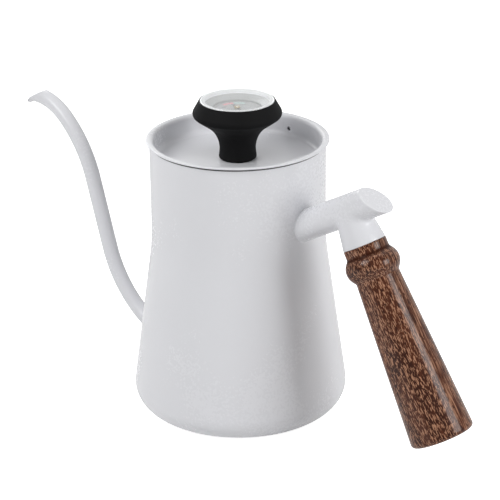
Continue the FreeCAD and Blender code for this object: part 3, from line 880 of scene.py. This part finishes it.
coated_sides = len(upper_side) + COATED_UNDER
lid_skins = [0 if side < coated_sides else 1 for side in range(len(lid_outline))]
lid_mesh = turned_mesh("lid_dish", lid_outline, ROUND_TURNS, lid_skins)
vent_way = level_way(VENT_TURN)
vent_place = vent_way * DISH_R + Vector((0, 0, VENT_Z))
lid_mesh = drilled_mesh(lid_mesh, vent_place, vent_way, VENT_R, VENT_DRILL)
set_piece("lid_dish", lid_mesh, [WHITE_COAT, BARE_STEEL], "lid", ["lid_pan"])


# Knob: moulded black rubber round the neck of the thermometer. Under the lid a silicone ring seals the
# bore and a steel nut on the threaded neck clamps it all.
RUBBER_DARK = (0.005, 0.005, 0.0055, 1)
RUBBER_LIGHT = (0.009, 0.009, 0.0095, 1)
SEAL_DARK = (0.46, 0.46, 0.46, 1)
SEAL_LIGHT = (0.60, 0.60, 0.59, 1)
BLACK_RUBBER = grained_finish("black_rubber", RUBBER_DARK, RUBBER_LIGHT,
                              gloss=(0.6, 0.75), grain=(1900, 60), bump=(0.35, 0.05 * MM), shine=0.1)
SEAL_RUBBER = grained_finish("grey_silicone", SEAL_DARK, SEAL_LIGHT,
                             gloss=(0.4, 0.55), grain=(1500, 80), bump=(0.15, 0.03 * MM))
finish_nodes(BLACK_RUBBER, "knob_grip")
finish_nodes(SEAL_RUBBER, "knob_seal")
finish_nodes(BARE_STEEL, "lock_nut", "neck_bush", "thermometer_case", "stem_tube", "stem_tip",
             "bimetal_coil", "spindle")
finish_nodes(BRASS, "spindle_guide", "pointer_hub")


# Dial: a thin grey plate in the head of the thermometer, with a printed Celsius scale that runs
# clockwise from 0 to 120 over three quarters of a turn, and coloured bands for the brewing range.
DIAL_TOP_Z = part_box("dial_plate")[1].z
INK = 0.03 * MM
SCALE_START = math.radians(18)
SCALE_SWEEP = math.radians(270)
SCALE_TOP = 120
MARK_R = 10.8 * MM
NUMBER_R = 6.3 * MM
NUMBER_SIZE = 1.9 * MM
NUMBER_TURN = math.radians(45)
ZONE_R = 9.2 * MM
ZONE_WIDTH = 1.6 * MM
DIAL_SHADE = (0.20, 0.205, 0.21, 1)
DIAL_LIGHT = (0.25, 0.255, 0.26, 1)
BEZEL_SHADE = (0.19, 0.195, 0.195, 1)
BEZEL_LIGHT = (0.24, 0.245, 0.245, 1)
ZONES = [
    ("brewing", 88, 104, (0.50, 0.12, 0.15, 1)),
    ("boiling", 104, 120, (0.25, 0.40, 0.37, 1)),
]
INK_DARK = (0.03, 0.03, 0.035, 1)
PAINT_DARK = (0.02, 0.02, 0.02, 1)
PAINT_LIGHT = (0.035, 0.035, 0.035, 1)
BAND_STEPS = 24
UNIT_TURN = math.radians(275)
UNIT_R = 3.6 * MM
UNIT_SIZE = 2.6 * MM
MARKS = [
    ("dial_fine_marks", 61, 0.8 * MM, 0.14 * MM),
    ("dial_main_marks", 13, 1.3 * MM, 0.3 * MM),
]


def ink_finish(name, colour):
    faded = tuple(min(1, part * 1.15) for part in colour[:3]) + (1,)
    return grained_finish(name, colour, faded, gloss=(0.4, 0.55), grain=(2500, 300), bump=(0.05, 0.01 * MM))


def scale_angle(degrees):
    return SCALE_START - SCALE_SWEEP * degrees / SCALE_TOP


def marks_group():
    """Bars laid out along an arc, each pointing at the middle."""
    group, given, result = new_group(
        "dial_marks", "GeometryNodeTree",
        [("Ground", "Geometry"), ("Count", "Int"), ("Start", "Float"), ("Step", "Float"),
         ("Outer Radius", "Float"), ("Length", "Float"), ("Width", "Float"), ("Ink", "Float"),
         ("Base Height", "Float"), ("Finish", "Material")],
        [("Marks", "Geometry")])
    link = group.links.new
    take = given.outputs

    def maths(operation, *values):
        node = add_node(group, "ShaderNodeMath", operation=operation)
        for socket, value in enumerate(values):
            if isinstance(value, float):
                node.inputs[socket].default_value = value
            else:
                link(value, node.inputs[socket])
        return node.outputs[0]

    index = add_node(group, "GeometryNodeInputIndex").outputs["Index"]
    angle = maths("SUBTRACT", take["Start"], maths("MULTIPLY", index, take["Step"]))
    half = maths("MULTIPLY", take["Length"], 0.5)
    half_ink = maths("MULTIPLY", take["Ink"], 0.5)
    middle_r = maths("SUBTRACT", take["Outer Radius"], half)
    spot = add_node(group, "ShaderNodeCombineXYZ")
    link(maths("MULTIPLY", middle_r, maths("COSINE", angle)), spot.inputs["X"])
    link(maths("MULTIPLY", middle_r, maths("SINE", angle)), spot.inputs["Y"])
    link(maths("ADD", take["Base Height"], half_ink), spot.inputs["Z"])
    points = add_node(group, "GeometryNodePoints")
    size = add_node(group, "ShaderNodeCombineXYZ")
    bar = add_node(group, "GeometryNodeMeshCube")
    turn = add_node(group, "ShaderNodeCombineXYZ")
    link(angle, turn.inputs["Z"])
    laid = add_node(group, "GeometryNodeInstanceOnPoints")
    whole = add_node(group, "GeometryNodeRealizeInstances")
    inked = add_node(group, "GeometryNodeSetMaterial")
    wire(group,
         (given, "Count", points, "Count"),
         (spot, "Vector", points, "Position"),
         (given, "Length", size, "X"),
         (given, "Width", size, "Y"),
         (given, "Ink", size, "Z"),
         (size, "Vector", bar, "Size"),
         (points, "Points", laid, "Points"),
         (bar, "Mesh", laid, "Instance"),
         (turn, "Vector", laid, "Rotation"),
         (laid, "Instances", whole, "Geometry"),
         (whole, "Geometry", inked, "Geometry"),
         (given, "Finish", inked, "Material"),
         (inked, "Geometry", result, "Marks"))
    return group


finish_nodes(grained_finish("dial_face", DIAL_SHADE, DIAL_LIGHT,
                            gloss=(0.45, 0.6), grain=(2200, 200), bump=(0.05, 0.02 * MM)), "dial_plate")
finish_nodes(grained_finish("dial_bezel_grey", BEZEL_SHADE, BEZEL_LIGHT,
                            gloss=(0.1, 0.18), grain=(1600, 150), bump=(0.03, 0.01 * MM)), "dial_bezel")
BLACK_INK = ink_finish("black_ink", INK_DARK)
DIAL_MARKS = marks_group()
for name, count, length, width in MARKS:
    ground = loose_object(name, bpy.data.meshes.new(name))
    marks = grown_mesh(ground, DIAL_MARKS, {
        "Count": count,
        "Start": SCALE_START,
        "Step": SCALE_SWEEP / (count - 1),
        "Outer Radius": MARK_R,
        "Length": length,
        "Width": width,
        "Ink": INK,
        "Base Height": DIAL_TOP_Z,
        "Finish": BLACK_INK,
    })
    set_piece(name, marks, [BLACK_INK], "lid")


def printed_words(name, words, size, middle):
    """Raised print: flat lettering made a mesh and laid on the dial."""
    data = bpy.data.curves.new(name, "FONT")
    data.body = words
    data.size = size
    data.align_x = "CENTER"
    data.align_y = "CENTER"
    data.extrude = INK / 2
    mesh = finished_mesh(loose_object(name, data))
    lift = Vector((0, 0, DIAL_TOP_Z + INK / 2))
    mesh.transform(Matrix.Translation(middle + lift) @ Matrix.Rotation(NUMBER_TURN, 4, "Z"))
    set_piece(name, mesh, [BLACK_INK], "lid")


for degrees in range(0, SCALE_TOP + 1, 20):
    number_way = level_way(scale_angle(degrees))
    printed_words(f"dial_number_{degrees}", str(degrees), NUMBER_SIZE, number_way * NUMBER_R)
for zone, low, high, colour in ZONES:
    rings = []
    for step in range(BAND_STEPS + 1):
        way = level_way(scale_angle(low + (high - low) * step / BAND_STEPS))
        lift = Vector((0, 0, INK))
        base = Vector((0, 0, DIAL_TOP_Z))
        inner = base + way * (ZONE_R - ZONE_WIDTH)
        outer = base + way * ZONE_R
        rings.append([inner, outer, outer + lift, inner + lift])
    name = f"dial_band_{zone}"
    band_ink = ink_finish(f"{zone}_ink", colour)
    set_piece(name, ring_mesh(name, rings, False), [band_ink], "lid")
printed_words("dial_unit", "°C", UNIT_SIZE, level_way(UNIT_TURN) * UNIT_R)
finish_nodes(grained_finish("pointer_paint", PAINT_DARK, PAINT_LIGHT,
                            gloss=(0.35, 0.5), grain=(1800, 200), bump=(0.05, 0.01 * MM)), "pointer")


# Lens: a clear, slightly domed cover of even thickness, with a plug that snaps into the thermometer's
# head over a gasket. Painted rings inside its edge hide the seat. The white border is painted light,
# standing in for the bright light seen through the lens edge, and the grey ring is painted shade over
# the seat. Light that only passes through it goes straight on, so the dial is lit as under a real cover.
LENS_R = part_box("lens")[1].x
LENS_DOME = 0.45 * MM
LENS_RIM_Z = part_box("lens")[1].z - LENS_DOME
LENS_EDGE_ROUND = 0.4 * MM
LENS_EDGE_R = LENS_R - LENS_EDGE_ROUND
PLUG_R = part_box("thermometer_case")[1].x
PLUG_WALL = 1.0 * MM
PLUG_INNER_R = PLUG_R - PLUG_WALL
PLUG_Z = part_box("lens")[0].z
SEAT_Z = PLUG_Z + 1.1 * MM
DOME_RINGS = 24
LENS_TURNS = 128
LENS_TINT = (0.97, 0.98, 0.98, 1)
LENS_IOR = 1.49
PAINT_GAP = 0.02 * MM
BORDER_HEIGHT = 0.48 * MM
BORDER_Z = SEAT_Z + PAINT_GAP
BORDER_TOP_Z = BORDER_Z + BORDER_HEIGHT
BORDER_R = LENS_R - PAINT_GAP
BORDER_INNER_R = PLUG_R + 0.3 * MM
SHADE_RING_INNER_R = PLUG_INNER_R + 0.05 * MM


def lens_finish():
    """Clear plastic with faint smudges, which casts no shadow."""
    material, tree, shader = new_finish("clear_lens", {
        "Base Color": LENS_TINT, "Metallic": 0.0, "Transmission Weight": 1.0, "IOR": LENS_IOR,
    })
    smudged = grain_node(tree, 700, 90)
    haze = ramp(tree, smudged.outputs["Tone"], (0.4, 0.8), (0.01, 0.05))
    tree.links.new(haze, shader.inputs["Roughness"])
    path = add_node(tree, "ShaderNodeLightPath")
    through = add_node(tree, "ShaderNodeBsdfTransparent")
    choice = add_node(tree, "ShaderNodeMixShader")
    wire(tree,
         (path, "Is Shadow Ray", choice, "Fac"),
         (shader, "BSDF", choice, 1),
         (through, "BSDF", choice, 2),
         (choice, "Shader", tree.nodes["Material Output"], "Surface"))
    return material


def dome_arc(reach, base, inwards):
    """Points along one side of the crown."""
    arc = []
    for step in range(DOME_RINGS + 1):
        part = step / DOME_RINGS
        radius = reach * (1 - part if inwards else part)
        arc.append(Vector((radius, base + LENS_DOME * (1 - (radius / LENS_EDGE_R) ** 2))))
    return arc


finish_nodes(grained_finish("white_silicone", COAT_SHADE, COAT_LIGHT,
                            gloss=(0.4, 0.55), grain=(1500, 80), bump=(0.1, 0.02 * MM)), "lens_gasket")
lens_path = dome_arc(PLUG_INNER_R, SEAT_Z, False) + rounded_outline([
    (PLUG_INNER_R, SEAT_Z, 0),
    (PLUG_INNER_R, PLUG_Z, 0),
    (PLUG_R, PLUG_Z, 0),
    (PLUG_R, SEAT_Z, 0),
    (LENS_R, SEAT_Z, 0),
    (LENS_R, LENS_RIM_Z, LENS_R - LENS_EDGE_R),
    (LENS_EDGE_R, LENS_RIM_Z, 0),
], turn_step=math.radians(9))[:-1] + dome_arc(LENS_EDGE_R, LENS_RIM_Z, True)
lens_mesh = turned_mesh("lens_cover", lens_path, LENS_TURNS)
set_piece("lens_cover", lens_mesh, [lens_finish()], "lid", ["lens"])

# Painted light and shade: the white border stands in for light through the lens edge, the grey ring for
# shade over the seat; the liner is plain white paint.
WHITE_PRINT_AND_EDGE_LIGHT = ink_finish("white_print_and_edge_light", (0.74, 0.75, 0.76, 1))
LENS_SHADE_GREY = ink_finish("lens_painted_shade_grey", (0.48, 0.485, 0.49, 1))
border_outline = [
    (BORDER_INNER_R, BORDER_Z),
    (BORDER_R, BORDER_Z),
    (BORDER_R, BORDER_TOP_Z),
    (BORDER_R - INK, BORDER_TOP_Z),
    (BORDER_R - INK, BORDER_Z + INK),
    (BORDER_INNER_R, BORDER_Z + INK),
]


def ring_section(inner, outer, bottom, top):
    return [(inner, bottom), (outer, bottom), (outer, top), (inner, top)]


# The grey ring is painted shade over the seat.
shade_ring_outline = ring_section(SHADE_RING_INNER_R, BORDER_INNER_R, BORDER_Z, BORDER_Z + INK)
liner_outline = ring_section(SHADE_RING_INNER_R, SHADE_RING_INNER_R + INK, PLUG_Z + INK, BORDER_Z)
for name, corners, finish in (
    ("lens_edge_light_border", border_outline, WHITE_PRINT_AND_EDGE_LIGHT),
    ("lens_shade_ring", shade_ring_outline, LENS_SHADE_GREY),
    ("lens_liner", liner_outline, WHITE_PRINT_AND_EDGE_LIGHT),
):
    paint_mesh = turned_mesh(name, [Vector(corner) for corner in corners], LENS_TURNS)
    set_piece(name, paint_mesh, [finish], "lid")


# Stage: a plain white floor that keeps the kettle's shadow and soft light all round, which reflections
# show dimmed except for a white backdrop behind the kettle. Soft lamps stand on the grip's side, the
# spout's side, above and behind, and the camera is a little above the kettle.
CAMERA_PLACE = Vector((549.4, -610.1, 416.6)) * MM
CAMERA_FALL = math.radians(22.516)
CAMERA_BEARING = math.radians(41.663)
CAMERA_ROLL = 0.0104
CAMERA_LENS = 136.75
CAMERA_SENSOR = 36.0
CAMERA_SHIFT = 0.0011
FLOOR_REACH = 6.0
FLOOR_DROP = 0.2 * MM
FLOOR_COLOUR = (0.8, 0.8, 0.8, 1)
FLOOR_GLOW = 0.85
FLOOR_IN_MIRRORS = 0.45
WHITE = (1, 1, 1, 1)
AMBIENT = 0.27
SKY_IN_MIRRORS = 0.25
BACKDROP_WAY = Vector((-0.53, 0.60, 0.60))
BACKDROP_EDGE = (0.2, 0.6)
LAMPS_AIM = Vector((0, 0, 80 * MM))

ahead = Vector((
    -math.cos(CAMERA_FALL) * math.sin(CAMERA_BEARING),
    math.cos(CAMERA_FALL) * math.cos(CAMERA_BEARING),
    -math.sin(CAMERA_FALL),
))
level = ahead.cross(Vector((0, 0, 1))).normalized()
upwards = (level.cross(ahead) + level * CAMERA_ROLL).normalized()
sideways = ahead.cross(upwards).normalized()
camera_data = bpy.data.cameras.new("photo_camera")
camera_data.lens = CAMERA_LENS
camera_data.sensor_width = CAMERA_SENSOR
camera_data.shift_x = CAMERA_SHIFT
camera = loose_object("photo_camera", camera_data)
camera_turn = Matrix((sideways, upwards, -ahead)).transposed().to_4x4()
camera.matrix_world = Matrix.Translation(CAMERA_PLACE) @ camera_turn
bpy.context.scene.camera = camera
bpy.context.scene.view_settings.view_transform = "Standard"


def seen_directly(tree):
    """1 where the camera or clear glass looks and 0 for light that falls on things, and the socket for
    the share that reflections show."""
    path = add_node(tree, "ShaderNodeLightPath")
    mirrored = add_node(tree, "ShaderNodeMath", operation="MULTIPLY")
    tree.links.new(path.outputs["Is Glossy Ray"], mirrored.inputs[0])
    brightest = mirrored.outputs[0]
    for ray in ("Is Camera Ray", "Is Transmission Ray"):
        most = add_node(tree, "ShaderNodeMath", operation="MAXIMUM")
        tree.links.new(brightest, most.inputs[0])
        tree.links.new(path.outputs[ray], most.inputs[1])
        brightest = most.outputs[0]
    return brightest, mirrored.inputs[1]


world = bpy.data.worlds.new("white_studio")
bpy.context.scene.world = world
world.use_nodes = True
sky_tree = world.node_tree
sky = sky_tree.nodes["Background"]
sky.inputs["Color"].default_value = WHITE
sky_way = add_node(sky_tree, "ShaderNodeTexCoord")
sky_facing = add_node(sky_tree, "ShaderNodeVectorMath", {1: BACKDROP_WAY}, operation="DOT_PRODUCT")
sky_strength = add_node(sky_tree, "ShaderNodeMix", {"A": AMBIENT, "B": 1.0}, data_type="FLOAT")
sky_seen, sky_share = seen_directly(sky_tree)
sky_tree.links.new(
    ramp(sky_tree, sky_facing.outputs["Value"], BACKDROP_EDGE, (SKY_IN_MIRRORS, 1.0)), sky_share)
sky_tree.links.new(sky_seen, sky_strength.inputs["Factor"])
wire(sky_tree, (sky_way, "Generated", sky_facing, 0), (sky_strength, "Result", sky, "Strength"))

floor_finish, floor_tree, floor_shader = new_finish("studio_floor", {
    "Base Color": FLOOR_COLOUR, "Roughness": 0.9, "Metallic": 0.0, "Specular IOR Level": 0.0,
    "Emission Color": WHITE,
})
floor_glow = add_node(floor_tree, "ShaderNodeMath", {1: FLOOR_GLOW}, operation="MULTIPLY")
floor_seen, floor_share = seen_directly(floor_tree)
floor_share.default_value = FLOOR_IN_MIRRORS
floor_tree.links.new(floor_seen, floor_glow.inputs[0])
floor_tree.links.new(floor_glow.outputs[0], floor_shader.inputs["Emission Strength"])
floor_corners = [(x * FLOOR_REACH, y * FLOOR_REACH, -FLOOR_DROP)
                 for x, y in ((-1, -1), (1, -1), (1, 1), (-1, 1))]
floor_mesh = bpy.data.meshes.new("studio_floor")
floor_mesh.from_pydata(floor_corners, [], [(0, 1, 2, 3)])
floor_mesh.materials.append(floor_finish)
loose_object("studio_floor", floor_mesh)


def soft_lamp(name, bearing, height, distance, size, power):
    """A square lamp at a bearing from the kettle, turned towards its middle."""
    data = bpy.data.lights.new(name, "AREA")
    data.shape = "SQUARE"
    data.size = size
    data.energy = power
    lamp = loose_object(name, data)
    lamp.location = level_way(math.radians(bearing)) * distance + Vector((0, 0, height))
    lamp.rotation_euler = (LAMPS_AIM - lamp.location).to_track_quat("-Z", "Y").to_euler()


soft_lamp("grip_side_lamp", bearing=10.5, height=0.35, distance=0.75, size=0.34, power=2.4)
soft_lamp("spout_side_lamp", bearing=-105, height=0.74, distance=0.75, size=0.5, power=4.45)
soft_lamp("top_lamp", bearing=60, height=0.95, distance=0.2, size=0.6, power=0.8)
soft_lamp("back_lamp", bearing=155, height=0.55, distance=0.8, size=0.5, power=1.7)
